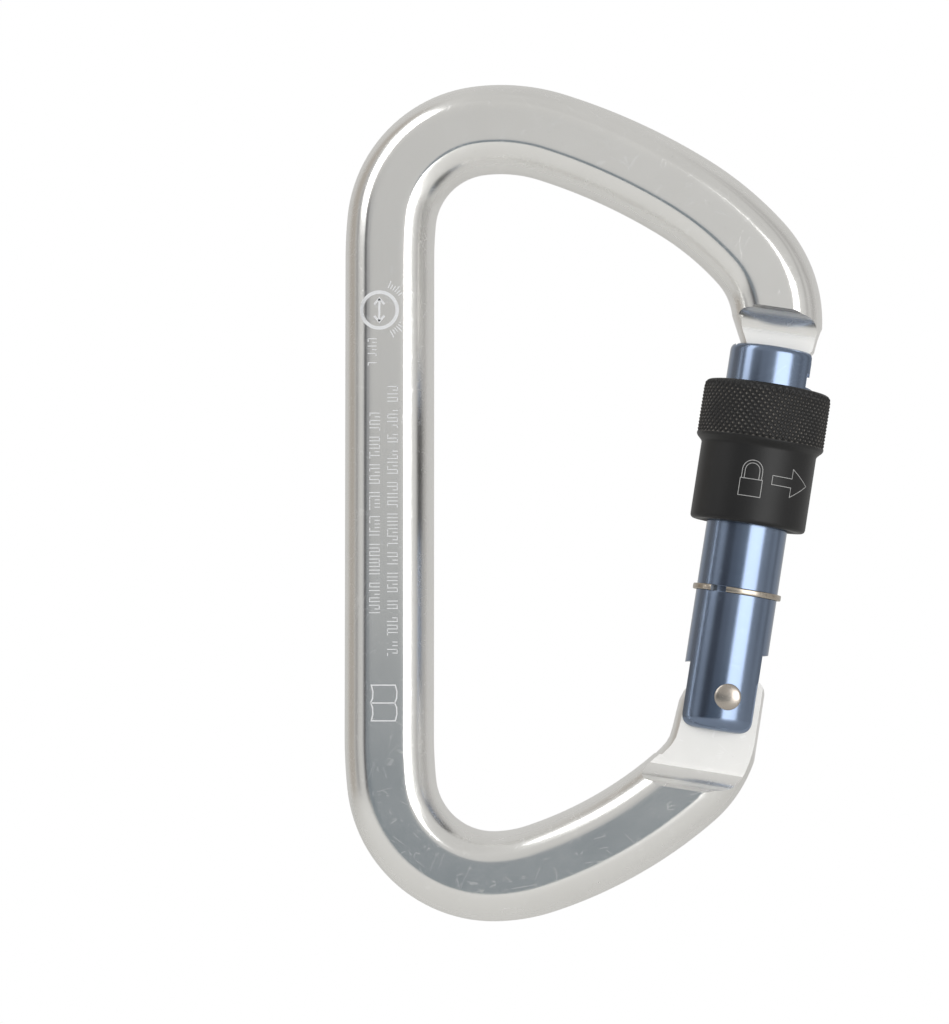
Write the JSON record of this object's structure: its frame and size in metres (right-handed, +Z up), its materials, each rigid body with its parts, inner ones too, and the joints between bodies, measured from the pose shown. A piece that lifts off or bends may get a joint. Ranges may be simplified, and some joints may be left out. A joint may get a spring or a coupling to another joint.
{
  "type": "screw-lock carabiner",
  "caption": "Large D-shaped aluminium carabiner with a hinged spring gate, a knurled screw-lock sleeve and a milled nose.",
  "frame": {"origin": "highest point of the basket, the inside of the top bow, midway through the bar, where the upper load hangs", "axes": "+Z up the long axis of the closed ring, +X towards the gate, +Y through the thickness, away from the marked face"},
  "size_m": [0.0773, 0.0202, 0.1331],
  "materials": {
    "polished_aluminium": "bright satin polish",
    "anodised_gate": "blue-grey anodised",
    "rivet_steel": "bright",
    "spring_steel": "drawn wire",
    "black_sleeve": "black anodised, satin",
    "ring_nylon": "natural nylon",
    "clip_steel": "bright"
  },
  "bodies": {
    "ring": {"ring_body": "polished_aluminium"},
    "gate": {"gate": "anodised_gate", "hinge_rivet": "rivet_steel", "retaining_clip": "clip_steel", "gate_spring": "spring_steel"},
    "plunger": {"spring_plunger": "rivet_steel"},
    "sleeve_carrier": {"friction_ring": "ring_nylon"},
    "sleeve": {"locking_sleeve": "black_sleeve"}
  },
  "joints": [
    {"name": "gate_swing", "type": "hinge", "parent": "ring", "child": "gate", "pos_m": [0.03625, 0, -0.08357], "axis": [0, -1, 0], "range_deg": [0, 26], "stiffness_Nm_per_rad": 0.03, "springref_deg": -34.38, "deforming": ["gate_spring"]},
    {"name": "plunger_lift", "type": "slide", "parent": "gate", "child": "plunger", "axis": [0.1559, 0, 0.9878], "range_m": [0, 0.0011]},
    {"name": "sleeve_travel", "type": "slide", "parent": "gate", "child": "sleeve_carrier", "axis": [0.1559, 0, 0.9878], "range_m": [-0.00955, 0.00001]},
    {"name": "sleeve_spin", "type": "hinge", "parent": "sleeve_carrier", "child": "sleeve", "pos_m": [0.03509, 0, -0.08339], "axis": [0.1559, 0, 0.9878], "range_deg": [-1710, 0]}
  ],
  "couplings": [
    {"joint": "plunger_lift", "follows": "gate_swing", "m_per_rad": 0.00237},
    {"joint": "sleeve_travel", "follows": "sleeve_spin", "m_per_rad": 0.00031831}
  ]
}
